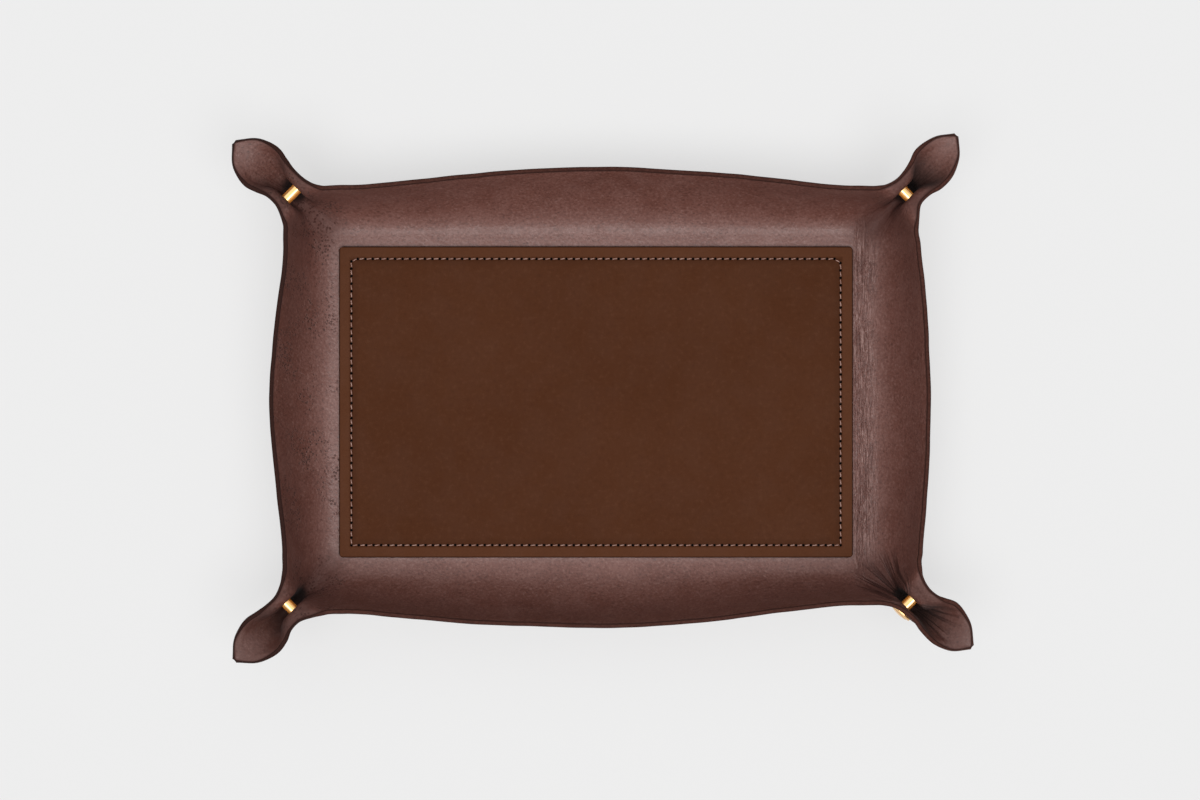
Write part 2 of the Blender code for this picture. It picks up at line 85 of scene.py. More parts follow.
# place, rise, sweep, lean, drop, turn, wall shift share
SIDE_RIB_SHARES = (
    (-0.26, 0.03, 0.99, 0.185, 0.47, 0.00, -0.08),
    (0.00, 0.00, 1.00, 0.190, 0.47, 0.00, 0.00),
    (0.26, 0.03, 0.99, 0.185, 0.47, 0.00, 0.08),
    (0.50, 0.14, 0.96, 0.150, 0.49, 0.00, 0.55),
    (0.70, 0.32, 0.93, 0.105, 0.53, 0.02, 0.90),
    (0.86, 0.50, 0.92, 0.062, 0.58, 0.10, 1.00),
    (1.00, 0.62, 0.92, 0.030, 0.62, 0.32, 1.00),
)
BOW_SPAN_SHARE, RIM_DRAW_SHARE = 0.90, 0.09
# fold place and rise, rim place, across and rise, sweep, lean, drop, turn
CORNER_RIB_SHARES = (
    (-0.70, 0.034, -0.52, 1.50, 0.926, 1.26, 0.040, 0.55, 0.66),
    (-0.46, 0.096, -0.37, 1.19, 0.937, 1.08, 0.085, 0.43, 0.92),
    (-0.26, 0.177, -0.22, 0.95, 0.946, 1.00, None, 0.27, 1.00),
    (0.00, 0.285, 0.00, None, 0.951, 0.94, None, 0.16, 1.00),
    (0.18, 0.415, 0.18, None, 0.955, 0.85, None, 0.16, 1.00),
    (0.33, 0.565, 0.33, 0.88, 0.958, 0.74, 0.070, 0.18, 1.00),
    (0.49, 0.728, 0.49, 1.00, 0.963, 0.80, 0.050, 0.14, 1.00),
    (0.66, 0.868, 0.66, 0.92, 0.970, 0.64, 0.080, 0.07, 1.00),
    (0.82, 0.943, 0.82, 0.67, 0.980, 0.36, 0.060, 0.02, 1.00),
    (0.98, 0.985, 0.98, 0.09, 0.993, 0.03, 0.003, 0.002, 1.00),
)
PINCH_SHARE, PINCH_SPREAD_SHARE = 0.62, 0.6
CORNER_RIB = len(SIDE_RIB_SHARES) - 1
LAST_RIB = CORNER_RIB + len(CORNER_RIB_SHARES)

FLOOR_HALF = np.array((PANEL_LENGTH / 2 + FLOOR_MARGIN, PANEL_WIDTH / 2 + FLOOR_MARGIN))
FLOOR_MID = SHEET_THICKNESS / 2
ROOT_2 = sqrt(2)
POST_RUN = POST_SETOUT * ROOT_2
PANEL_BOTTOM = SHEET_THICKNESS + 0.0003
PANEL_TOP = PANEL_BOTTOM + PANEL_THICKNESS

# Middle of the post places, for the colours
POST_X, POST_Y = 0.150, 0.0998

# Fineness and finish of the visual sheet
SIDE_STEPS = {LONG_SIDE: 14, SHORT_SIDE: 9}
CORNER_STEPS = 6
RIB_STEPS, RIB_LENGTH = 36, 0.05
RIM_BULGE = 0.00035
RIM_THINNING, THINNED_WIDTH = 0.21, 0.0035
RIM_STEPS = 10
RIM_ROUNDNESS = 0.75
RIM_MM_DEPTH = SHEET_THICKNESS * 390
WAVE_HEIGHT, FINE_WAVE_HEIGHT = 0.00042, 0.00016
PRESS_FADE, SWELL_HEIGHT, SWELL_AWAY, SWELL_WIDTH = 0.0045, 0.00022, 0.0013, 0.0009

# Fineness and finish of the other pieces
EDGE_ROUNDING, SMALLEST_CORNER = 0.0009, 0.0004
SEAM_DIP = 0.00028
HOLE_WANDER, AWL_SIDES = 0.00012, 12
ARRIS, HEAD_STEPS, ARRIS_STEPS = 0.00045, 16, 5
THREAD_DEPTH, THREAD_STEP = 0.00026, THREAD_PITCH / 8
BARREL_HOLE_RADIUS, BARREL_HOLE_REACH = 0.00285, 0.012


# The shape of the folded sheet
def eased(share):
    share = np.clip(share, 0, 1)
    return share**2 * (3 - 2 * share)


def smooth_through(values, at):
    values = np.asarray(values, float)
    slopes = np.gradient(values, axis=0)
    index = np.clip(np.floor(at).astype(int), 0, len(values) - 2)
    t = (at - index)[:, None]
    return (
        (2 * t**3 - 3 * t**2 + 1) * values[index]
        + (t**3 - 2 * t**2 + t) * slopes[index]
        + (3 * t**2 - 2 * t**3) * values[index + 1]
        + (t**3 - t**2) * slopes[index + 1]
    )


def spread(share):
    return share * (POST_RUN if share < 0 else EAR_LENGTH)


def pinch_lean(across, sweep, half_gap):
    t = PINCH_SHARE
    first, second, third = 3 * (1 - t) ** 2 * t, 3 * (1 - t) * t**2, t**3
    return across - (half_gap - first * sweep - third * across) / second


def diagonal_point(run, across, along_half, out_half):
    """A place given by its way out from the post along the fold and its way across the fold."""
    along, out = (run - across) / ROOT_2, (run + across) / ROOT_2
    return along_half + POST_SETOUT + along, out_half + POST_SETOUT + out


def rib_table(corner, side):
    which, reach, bow = WALLS[side]
    along_half, out_half = FLOOR_HALF[which], FLOOR_HALF[1 - which]
    flare, ear_share = corner.flare_shares[which] * RIM_FLARE, corner.ear_shares[which]
    wall_shift = corner.wall_shares[which] * WALL_SHIFT
    fold_shift = corner.fold_shares[which] * FOLD_SHIFT
    rows = []
    for place, rise, sweep, lean, drop, turn, shift_share in SIDE_RIB_SHARES:
        along = along_half * place * (1 - RIM_DRAW_SHARE * place**2)
        arc = max(cos(pi / 2 * along / (along_half * BOW_SPAN_SHARE)), 0)
        out = out_half + reach + bow * arc + wall_shift * shift_share
        rim = (along, out, SIDE_RISE + rise * (TIP_RISE - SIDE_RISE))
        rows.append((*rim, sweep * WALL_SWEEP, lean * SIDE_RISE, drop * SIDE_RISE, turn))
    for _, _, place, across, rise, sweep, lean, drop, turn in CORNER_RIB_SHARES:
        sweep *= CHANNEL_HALF_WIDTH * corner.half_gap / NARROW
        if across is None:
            across = corner.half_gap + flare
        elif place < 0:
            across = across * EAR_HALF_WIDTH + fold_shift
            across += PINCH_SPREAD_SHARE * (corner.half_gap - NARROW) if lean is None else 0
        else:
            across = across * EAR_HALF_WIDTH * ear_share + fold_shift * (1 - place)
        lean = pinch_lean(across, sweep, corner.half_gap) if lean is None else lean * EAR_LENGTH
        along, out = diagonal_point(spread(place), across, along_half, out_half)
        rows.append((along, out, rise * TIP_RISE, sweep, lean, drop * EAR_LENGTH, turn))
    return rows


def side_stations(side):
    return np.linspace(1, CORNER_RIB, (CORNER_RIB - 1) * SIDE_STEPS[side] + 1)


def stations(side):
    """Places of the ribs of a wing, counted in the rows of the two tables."""
    into_corner = np.linspace(CORNER_RIB, LAST_RIB, (LAST_RIB - CORNER_RIB) * CORNER_STEPS + 1)
    return np.concatenate([side_stations(side), into_corner[1:]])


def rib_places():
    """Shares along a rib from the fold to the rim, closer together near the rim."""
    even = np.linspace(0, 0.96, RIB_STEPS - 2)
    return np.concatenate([even, (0.975, 0.988, 1.0)]) * (1 - RIM_BULGE / RIB_LENGTH)


def fold_line(at, along_half, out_half):
    """Where each rib starts: on the floor's edge, then on the bottom of the fold, with its slope."""
    on_side, past = at <= CORNER_RIB, np.clip(at - CORNER_RIB, 0, None)
    side = smooth_through([row[:1] for row in SIDE_RIB_SHARES], at)[:, 0] * along_half
    fold = [(-POST_RUN, 0.0)] + [(spread(row[0]), row[1] * TIP_RISE) for row in CORNER_RIB_SHARES]
    run, rise = smooth_through(fold, past).T
    rise = np.maximum(rise, 0)
    along, out = diagonal_point(run, 0, along_half, out_half)
    points = np.stack(
        [np.where(on_side, side, along), np.where(on_side, out_half, out), rise], axis=1
    )
    slope = np.gradient(rise) / np.maximum(np.gradient(run), 1e-5)
    slope = np.where(on_side, 0, slope * eased(past))
    return points, slope, np.where(on_side, -POST_RUN, run)


def swung(grid, run, degrees, along_half, out_half):
    angle = np.radians(degrees) * eased(run / (EAR_LENGTH / 2))
    post = np.array(diagonal_point(0, 0, along_half, out_half))
    cosine, sine = np.cos(angle)[:, None], np.sin(angle)[:, None]
    along, out = grid[..., 0] - post[0], grid[..., 1] - post[1]
    plan = np.stack([along * cosine - out * sine, along * sine + out * cosine], axis=2) + post
    return np.concatenate([plan, grid[..., 2:]], axis=2)


def evened(grid, at):
    """Ribs of the walls averaged with their neighbours, except at the fold, for an even rim."""
    steps = np.arange(-32, 33)
    weights = np.exp(-((steps / 13.0) ** 2))
    weights /= weights.sum()
    near = np.clip(np.arange(len(at))[:, None] + steps, 0, len(at) - 1)
    average = (grid[near] * weights[None, :, None, None]).sum(axis=1)
    share = eased(at - 1) * (1 - eased((at - CORNER_RIB - 0.4) / 1.6))
    share = share[:, None] * eased(rib_places() / 0.35)[None, :]
    return grid + (average - grid) * share[..., None]


def wing(corner, side):
    along_half, out_half = FLOOR_HALF if side == LONG_SIDE else FLOOR_HALF[::-1]
    at = stations(side)
    table = smooth_through(rib_table(corner, side), at)
    inner, slope, run = fold_line(at, along_half, out_half)
    rim, sweep, lean, drop, turn = np.split(table, [3, 4, 5, 6], axis=1)
    turn = np.clip(turn, 0, 1)
    heading = np.concatenate([-turn / ROOT_2, 1 - turn + turn / ROOT_2], axis=1)
    heading /= np.linalg.norm(heading, axis=1, keepdims=True)
    climb = (heading.sum(axis=1) / ROOT_2 * slope)[:, None]
    first = inner + sweep * np.concatenate([heading, climb], axis=1)
    second = rim - np.concatenate([heading * lean, drop], axis=1)
    t = rib_places()[None, :, None]
    grid = (
        (1 - t) ** 3 * inner[:, None]
        + 3 * (1 - t) ** 2 * t * first[:, None]
        + 3 * (1 - t) * t**2 * second[:, None]
        + t**3 * rim[:, None]
    )
    grid = evened(grid, at)
    grid = swung(grid, run, corner.swing * (1 if side == LONG_SIDE else -1), along_half, out_half)
    if side == SHORT_SIDE:
        grid = grid[:, :, [1, 0, 2]]
    grid[:, :, :2] += eased(1 + run / POST_RUN)[:, None, None] * np.array(corner.post_shares) * POST_SHIFT
    return grid * (*corner.signs, 1) + (0, 0, FLOOR_MID)


def post_axis(corner):
    """Local X runs out to the ear, local Z to the long side."""
    x_sign, y_sign = corner.signs
    outward = Vector((x_sign / ROOT_2, y_sign / ROOT_2, 0))
    to_long_side = Vector((-x_sign / ROOT_2, y_sign / ROOT_2, 0))
    plan = (FLOOR_HALF + POST_SETOUT + np.array(corner.post_shares) * POST_SHIFT) * corner.signs
    axes = Matrix((outward, to_long_side.cross(outward), to_long_side)).transposed().to_4x4()
    return Matrix.Translation((*plan, FLOOR_MID + POST_HEIGHT)) @ axes


def floor_outline():
    half_x, half_y = FLOOR_HALF
    halves = [
        fold_line(side_stations(side), 1, 1)[0][:, 0] * half
        for side, half in ((LONG_SIDE, half_x), (SHORT_SIDE, half_y))
    ]
    along_x, along_y = (np.concatenate([-half[:0:-1], half]) for half in halves)
    return (
        [(a, -half_y) for a in along_x[:-1]]
        + [(half_x, a) for a in along_y[:-1]]
        + [(a, half_y) for a in along_x[:0:-1]]
        + [(-half_x, a) for a in along_y[:0:-1]]
    )


def middle_surface():
    """Welded open surface of the sheet's middle: points and faces, floor facing up."""
    surface = bmesh.new()
    for corner in CORNERS:
        for side in (LONG_SIDE, SHORT_SIDE):
            verts = [[surface.verts.new(point) for point in row] for row in wing(corner, side)]
            for row, following in zip(verts, verts[1:]):
                for quad in zip(row, row[1:], following[1:], following):
                    surface.faces.new(quad)
    surface.faces.new([surface.verts.new((*p, FLOOR_MID)) for p in floor_outline()])
    bmesh.ops.remove_doubles(surface, verts=surface.verts, dist=1e-5)
    bmesh.ops.recalc_face_normals(surface, faces=surface.faces)
    floor = max(surface.faces, key=lambda face: len(face.verts))
    if floor.normal.z < 0:
        bmesh.ops.reverse_faces(surface, faces=surface.faces)
    return surface


def press_under_heads(points):
    """The leather is flat and tight under each head, and swells a little round it."""
    for corner in CORNERS:
        axis = np.array(post_axis(corner))
        local = (points - axis[:3, 3]) @ axis[:3, :3]
        away = np.hypot(local[:, 0], local[:, 1])
        side = np.sign(local[:, 2])
        share = 1 - eased((away - 0.9 * HEAD_RADIUS) / PRESS_FADE)
        close = 1 - eased((np.abs(local[:, 2]) - corner.half_gap - 0.0012) / 0.0024)
        seat = side * (corner.half_gap - 0.00005)
        swell = np.exp(-(((away - HEAD_RADIUS - SWELL_AWAY) / SWELL_WIDTH) ** 2))
        local[:, 2] += ((seat - local[:, 2]) * share + side * SWELL_HEIGHT * swell) * close
        points = local @ axis[:3, :3].T + axis[:3, 3]
    return points


def waviness(point):
    """How far the hand-bent leather departs from an even curve."""
    fade = min(max((point.z - FLOOR_MID) / 0.012, 0), 1)
    broad = noise.noise(point * 38) * WAVE_HEIGHT
    fine = noise.noise(point * 95 + Vector((7, 3, 1))) * FINE_WAVE_HEIGHT
    return fade * (broad + fine)


def places_and_normals(surface):
    surface.normal_update()
    return np.array([v.co for v in surface.verts]), np.array([v.normal for v in surface.verts])


def leather_sheet_mesh():
    """The middle surface thickened to both sides, with a rounded rim between them."""
    surface = middle_surface()
    points, normals = places_and_normals(surface)
    wave = np.array([waviness(v.co) for v in surface.verts])
    points = press_under_heads(points + normals * wave[:, None])
    for vert, point in zip(surface.verts, points):
        vert.co = point
    points, normals = places_and_normals(surface)
    surface.verts.index_update()
    faces = [[v.index for v in face.verts] for face in surface.faces]
    loop = rim_loop(surface)
    surface.free()

    count = len(points)
    rim, rim_normals = points[loop], normals[loop]
    to_rim = nearest_distance(points, rim)
    half = SHEET_THICKNESS / 2 * (1 - RIM_THINNING * (1 - eased(to_rim / THINNED_WIDTH))[:, None])
    outward = rim_outward(rim, rim_normals)
    angles = np.linspace(pi / 2, -pi / 2, RIM_STEPS + 1)[1:-1]
    rings = []
    for angle in angles:
        up = copysign(abs(sin(angle)) ** RIM_ROUNDNESS, sin(angle))
        out = cos(angle) ** 0.62
        rings.append(rim + rim_normals * half[loop] * up + outward * RIM_BULGE * out)
    everything = np.concatenate([points + normals * half, points - normals * half, *rings])
    faces += [[i + count for i in reversed(face)] for face in faces]
    size = len(loop)
    between = [list(range(start, start + size)) for start in range(2 * count, len(everything), size)]
    rows = [loop, *between, [i + count for i in loop]]
    for row, following in zip(rows, rows[1:]):
        for i in range(size):
            j = (i + 1) % size
            faces.append([row[j], row[i], following[i], following[j]])
    mesh = bpy.data.meshes.new("leather_sheet")
    mesh.from_pydata(everything.tolist(), [], faces)

    inside_rim = [-RIM_MM_DEPTH * (1 - abs(sin(a)) ** RIM_ROUNDNESS) for a in angles]
    rim_mm = np.concatenate(
        [to_rim * 1000, to_rim * 1000] + [np.full(size, value) for value in inside_rim]
    )
    grain = np.concatenate([np.ones(count), -np.ones(count)] + [np.zeros(size)] * len(rings))
    for name, values in (("rim_mm", rim_mm), ("grain_side", grain)):
        layer = mesh.attributes.new(name, "FLOAT", "POINT")
        layer.data.foreach_set("value", values.astype(np.float32))
    mesh.shade_smooth()
    return mesh


def rim_loop(surface):
    """Indices round the open edge, in order."""
    following = {}
    for face in surface.faces:
        for loop in face.loops:
            if loop.edge.is_boundary:
                following[loop.vert.index] = loop.link_loop_next.vert.index
    start = next(iter(following))
    order, here = [start], following[start]
    while here != start:
        order.append(here)
        here = following[here]
    assert len(order) == len(following)
    return order


def rim_outward(rim, normals):
    """Direction out of the sheet at each point of the rim, evened out round the tips."""
    ahead, behind = np.roll(rim, -1, axis=0), np.roll(rim, 1, axis=0)
    tangent = ahead - behind
    tangent /= np.linalg.norm(tangent, axis=1, keepdims=True)
    out = np.cross(tangent, normals)
    step = np.linalg.norm(ahead - rim, axis=1)
    travelled = np.concatenate([[0], np.cumsum(step)])[:-1]
    total = step.sum()
    smooth = np.empty_like(out)
    for i in range(len(rim)):
        gap = np.abs(travelled - travelled[i])
        gap = np.minimum(gap, total - gap)
        near = gap < 0.0018
        share = np.exp(-((gap[near] / 0.0006) ** 2)) * np.maximum(step[near], 1e-6)
        smooth[i] = (out[near] * share[:, None]).sum(axis=0)
    smooth -= normals * (smooth * normals).sum(axis=1, keepdims=True)
    return smooth / np.linalg.norm(smooth, axis=1, keepdims=True)


def nearest_distance(points, targets):
    tree = kdtree.KDTree(len(targets))
    for index, target in enumerate(targets):
        tree.insert(target, index)
    tree.balance()
    return np.array([tree.find(point)[2] for point in points])


# Mesh helpers
def new_object(name, mesh):
    made = bpy.data.objects.new(name, mesh)
    bpy.context.scene.collection.objects.link(made)
    return made


def mesh_of(name, points, faces):
    mesh = bpy.data.meshes.new(name)
    mesh.from_pydata([tuple(p) for p in points], [], faces)
    shape = bmesh.new()
    shape.from_mesh(mesh)
    bmesh.ops.remove_doubles(shape, verts=shape.verts, dist=1e-7)
    bmesh.ops.recalc_face_normals(shape, faces=shape.faces)
    shape.to_mesh(mesh)
    shape.free()
    return mesh


def subtract(piece, cutter):
    """Cuts one object from another for good and removes the cutter."""
    boolean = piece.modifiers.new("cut", "BOOLEAN")
    boolean.operation, boolean.solver, boolean.object = "DIFFERENCE", "EXACT", cutter
    bpy.context.view_layer.update()
    graph = bpy.context.evaluated_depsgraph_get()
    mesh = bpy.data.meshes.new_from_object(piece.evaluated_get(graph))
    piece.modifiers.clear()
    piece.data = mesh
    bpy.data.objects.remove(cutter)


def tube_faces(points, rings, endless=False):
    """Faces between rings of points, with a cap on each end unless the tube is endless."""
    size = len(points) // rings
    faces = []
    for i in range(rings if endless else rings - 1):
        a, b = i * size, (i + 1) % rings * size
        for j in range(size):
            k = (j + 1) % size
            faces.append([a + j, a + k, b + k, b + j])
    if not endless:
        faces += [list(range(size))[::-1], list(range(len(points) - size, len(points)))]
    return faces


def joined(parts):
    points, faces = [], []
    for some_points, some_faces in parts:
        start = len(points)
        points.extend(some_points)
        faces.extend([[i + start for i in face] for face in some_faces])
    return points, faces


# Panel and stitches
def seam_holes():
    """Places of the stitch holes round the panel; the seam cuts across its two back corners."""
    half_x, half_y = PANEL_LENGTH / 2 - SEAM_INSET, PANEL_WIDTH / 2 - SEAM_INSET
    lines = (
        ((half_x - 0.0030, half_y), (-half_x + 0.0032, half_y), 1),
        ((-half_x, half_y - 0.0012), (-half_x, -half_y), 0),
        ((-half_x, -half_y), (half_x, -half_y), 0),
        ((half_x, -half_y), (half_x, half_y - 0.0021), 1),
    )
    holes = []
    for start, end, with_end in lines:
        start, end = np.array(start) + PANEL_MIDDLE, np.array(end) + PANEL_MIDDLE
        count = round(np.linalg.norm(end - start) / STITCH_PITCH)
        holes.extend(start + (end - start) * step / count for step in range(count + with_end))
    return holes


def round_rectangle(inset, radius, steps):
    """The panel's outline at an inset, with rounded corners."""
    half = np.array((PANEL_LENGTH / 2, PANEL_WIDTH / 2)) - inset
    points = []
    for quarter, signs in enumerate(((1, 1), (-1, 1), (-1, -1), (1, -1))):
        for step in range(steps + 1):
            angle = pi / 2 * (quarter + step / steps)
            turn = np.array((cos(angle), sin(angle)))
            points.append(np.array(signs) * (half - radius) + radius * turn + PANEL_MIDDLE)
    return points


def outlines(rings, steps):
    """Points of several outlines, each given by its inset, corner radius and height."""
    return [
        (*place, height)
        for inset, radius, height in rings
        for place in round_rectangle(inset, radius, steps)
    ]


def panel_mesh():
    """Panel lofted through rings from its underside over the rounded edge to the seam."""
    rings = [(0.0004, PANEL_BOTTOM), (0.0001, PANEL_BOTTOM + 0.0003), (0.0, PANEL_BOTTOM + 0.0007)]
    for step in range(7):
        angle = pi / 2 * step / 6
        inset = EDGE_ROUNDING * (1 - cos(angle) ** 0.9)
        rings.append((inset, PANEL_TOP - EDGE_ROUNDING + EDGE_ROUNDING * sin(angle) ** 0.9))
    half_dip = ((0.0019, 0), (0.0013, 0.00003), (0.0008, 0.00012), (0.0004, 0.00024))
    dip = [*((-away, depth) for away, depth in half_dip), (0, SEAM_DIP), *half_dip[::-1]]
    rings += [(SEAM_INSET + away, PANEL_TOP - depth) for away, depth in dip]
    rings = [(inset, max(PANEL_CORNER_RADIUS - inset, SMALLEST_CORNER), z) for inset, z in rings]
    points = outlines(rings, 8)
    return mesh_of("leather_panel", points, tube_faces(points, len(rings)))


def hole_cones(mouth, depth, width, end_width):
    """Awl holes: cones from mouth to depth, a little off their places."""
    parts = []
    for index, (x, y) in enumerate(seam_holes()):
        wobble = Vector((index * 0.37, 2.1, 0.3))
        x += noise.noise(wobble) * HOLE_WANDER
        y += noise.noise(wobble + Vector((0, 5, 0))) * HOLE_WANDER
        points = []
        for height, radius in ((mouth, width), (depth, end_width)):
            for step in range(AWL_SIDES):
                angle = 2 * pi * step / AWL_SIDES
                points.append((x + radius * cos(angle), y + radius * sin(angle), height))
        parts.append((points, tube_faces(points, 2)))
    return joined(parts)


def thread_section(turn, share, sides=10):
    """Ways across and up round a twisted, slightly flat thread at a share of its stitch."""
    swell = 1.06 - 0.10 * abs(2 * share - 1) ** 3
    section = []
    for j in range(sides):
        angle = 2 * pi * j / sides
        radius = THREAD_RADIUS * swell * (0.94 + 0.10 * cos(2 * (angle - turn)))
        section.append((radius * cos(angle) * 1.05, radius * sin(angle) * 0.92))
    return section


def stitches(surface_height, up, dive, rise, slant=0.00018, rings=15):
    """One twisted thread arc from each hole to the next."""
    holes = seam_holes()
    parts = []
    for index, (start, end) in enumerate(zip(holes, holes[1:] + holes[:1])):
        along = np.array((*(end - start), 0.0))
        length = np.linalg.norm(along)
        along /= length
        across = np.array((-along[1], along[0], 0.0))
        lean = slant * (1 + 0.35 * noise.noise(Vector((index * 0.9, 0, 4.0))))
        lift = rise * (1 + 0.25 * noise.noise(Vector((index * 0.7, 3.0, 0))))
        centres = []
        for i in range(rings):
            s = i / (rings - 1)
            arch = 1 - abs(2 * s - 1) ** 3.2
            height = surface_height + up * (dive + (lift - dive) * arch)
            side = -lean * cos(pi * s) * arch
            flat = np.array((*start, 0.0)) + along * length * (0.10 + 0.80 * s) + across * side
            centres.append(flat + np.array((0, 0, height)))
        tangents = np.gradient(np.array(centres), axis=0)
        tangents /= np.linalg.norm(tangents, axis=1, keepdims=True)
        points = []
        for i, (centre, tangent) in enumerate(zip(centres, tangents)):
            upward = np.cross(tangent, across)
            for a, b in thread_section(index * 1.3 + i * 0.62, i / (rings - 1)):
                points.append(centre + across * a + upward * b)
        parts.append((points, tube_faces(points, rings)))
    return joined(parts)


# Brass
def head_profile(seat):
    """Dome with a turned step, rounded arris, straight edge and chamfered underside."""
    rim_top = seat + HEAD_THICKNESS - HEAD_DOME
    crown = HEAD_RADIUS - ARRIS
    profile = []
    for step in range(HEAD_STEPS + 1):
        share = step / HEAD_STEPS
        low = STEP_DEPTH * eased((share - 0.80) / 0.06)
        dome = (HEAD_DOME - STEP_DEPTH) * (1 - share**2)
        profile.append((crown * share, rim_top + dome + STEP_DEPTH - low))
    for step in range(1, ARRIS_STEPS + 1):
        angle = pi / 2 * (1 - step / ARRIS_STEPS)
        profile.append((crown + ARRIS * cos(angle), rim_top - ARRIS * (1 - sin(angle))))
    profile += [(HEAD_RADIUS, seat + 0.00016), (HEAD_RADIUS - 0.00005, seat + 0.00005),
                (HEAD_RADIUS - 0.00016, seat)]
    return profile


def lathe(profile, segments=72, radius_at=None):
    """Turned points and faces, with one point on the axis at each end."""
    points, faces = [(0, 0, profile[0][1])], []
    rows = profile[1:-1]
    for radius, height in rows:
        for j in range(segments):
            angle = 2 * pi * j / segments
            real = radius_at(radius, angle, height) if radius_at else radius
            points.append((real * cos(angle), real * sin(angle), height))
    points.append((0, 0, profile[-1][1]))
    last = len(points) - 1
    for j in range(segments):
        k = (j + 1) % segments
        faces.append([0, 1 + j, 1 + k])
        for i in range(len(rows) - 1):
            a, b = 1 + i * segments, 1 + (i + 1) * segments
            faces.append([a + j, b + j, b + k, a + k])
        end = 1 + (len(rows) - 1) * segments
        faces.append([end + k, end + j, last])
    return points, faces


def shade_by_angle(piece, degrees=40):
    piece.data.shade_smooth()
    piece.data.set_sharp_from_angle(angle=radians(degrees))


def seat_height(corner):
    return corner.half_gap + SHEET_THICKNESS / 2


def make_post(corner, material):
    seat = seat_height(corner)
    end, bore_end = BARREL_SHORTFALL - seat, seat - SCREW_BORE_WALL
    profile = head_profile(seat) + [
        (BARREL_RADIUS + 0.0002, seat), (BARREL_RADIUS, seat - 0.0002),
        (BARREL_RADIUS, seat / 2), (BARREL_RADIUS, 0), (BARREL_RADIUS, end / 2),
        (BARREL_RADIUS, end + 0.0003), (BARREL_RADIUS - 0.0001, end + 0.0001),
        (BARREL_RADIUS - 0.0003, end), (BORE_RADIUS + 0.00015, end), (BORE_RADIUS, end + 0.00015),
        (BORE_RADIUS, bore_end), (0, bore_end),
    ]
    post = new_object(f"{corner.name}_binding_post", mesh_of("post", *lathe(profile)))
    post.data.materials.append(material)
    shade_by_angle(post)
    post.matrix_world = post_axis(corner)
    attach(post, f"{corner.name}_post")
    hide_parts(f"{corner.name}_post")


def make_screw(corner, material, slot_shade):
    seat = seat_height(corner)
    tip = 0.0003 + SCREW_BORE_WALL - seat
    root = seat - 0.0014

    def with_thread(radius, angle, height):
        if radius != SHANK_RADIUS or height > root:
            return radius
        fade = min((root - height) / 0.0005, (height - tip) / 0.0004, 1)
        wave = (height / THREAD_PITCH + angle / (2 * pi)) % 1
        return radius - THREAD_DEPTH * max(fade, 0) * abs(2 * wave - 1)

    rows = round((root - tip - 0.0004) / THREAD_STEP)
    threads = [(SHANK_RADIUS, root - i * THREAD_STEP) for i in range(rows)]
    profile = head_profile(seat) + [
        (SHANK_RADIUS + 0.0002, seat), (SHANK_RADIUS, seat - 0.0002), *threads,
        (SHANK_RADIUS - 0.0001, tip + 0.00025), (SHANK_RADIUS - 0.0005, tip), (0, tip),
    ]
    screw_mesh = mesh_of("screw", *lathe(profile, 60, with_thread))
    screw = new_object(f"{corner.name}_binding_screw", screw_mesh)
    head_top = seat + HEAD_THICKNESS
    slot = bmesh.new()
    bmesh.ops.create_cube(slot, size=1)
    bmesh.ops.scale(slot, vec=(0.02, SLOT_WIDTH, 2 * SLOT_DEPTH), verts=slot.verts)
    angle = radians(SLOT_DEGREES[corner.name])
    slot.transform(Matrix.Rotation(angle, 4, "Z") @ Matrix.Translation((0, 0, head_top)))
    mesh = bpy.data.meshes.new("slot")
    slot.to_mesh(mesh)
    slot.free()
    subtract(screw, new_object("slot", mesh))
    screw.data.materials.clear()
    screw.data.materials.append(material)
    screw.data.materials.append(slot_shade)
    lowest, highest = head_top - SLOT_DEPTH - 0.0001, head_top - 0.00001
    # the slot faces get the dark brass: patina and painted shade
    for polygon in screw.data.polygons:
        x, y, z = polygon.center
        across = abs(-x * sin(angle) + y * cos(angle)) < SLOT_WIDTH / 2 + 0.00002
        polygon.material_index = int(across and hypot(x, y) < HEAD_RADIUS and lowest < z < highest)
    shade_by_angle(screw)
    screw.matrix_world = post_axis(corner) @ Matrix.Rotation(pi, 4, "X")
    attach(screw, f"{corner.name}_screw")
    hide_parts(f"{corner.name}_screw")


# Materials
class Nodes:
    """Short calls that add nodes to a tree and return their output."""

    def __init__(self, tree):
        self.tree = tree

    def put(self, socket, value):
        if isinstance(value, bpy.types.NodeSocket):
            self.tree.links.new(value, socket)
        else:
            socket.default_value = value

    def node(self, kind, inputs=None, **settings):
        made = self.tree.nodes.new("ShaderNode" + kind)
        for key, value in settings.items():
            setattr(made, key, value)
        for key, value in (inputs or {}).items():
            self.put(made.inputs[key], value)
        return made

    def maths(self, operation, *values):
        return self.node("Math", dict(enumerate(values)), operation=operation).outputs[0]

    def plus(self, a, b):
        return self.maths("ADD", a, b)

    def minus(self, a, b):
        return self.maths("SUBTRACT", a, b)

    def over(self, a, b):
        return self.maths("DIVIDE", a, b)

    def larger(self, a, b):
        return self.maths("MAXIMUM", a, b)

    def size(self, value):
        return self.maths("ABSOLUTE", value)

    def times(self, *factors):
        product = factors[0]
        for factor in factors[1:]:
            product = self.maths("MULTIPLY", product, factor)
        return product

    def parts(self, vector):
        return self.node("SeparateXYZ", {"Vector": vector}).outputs


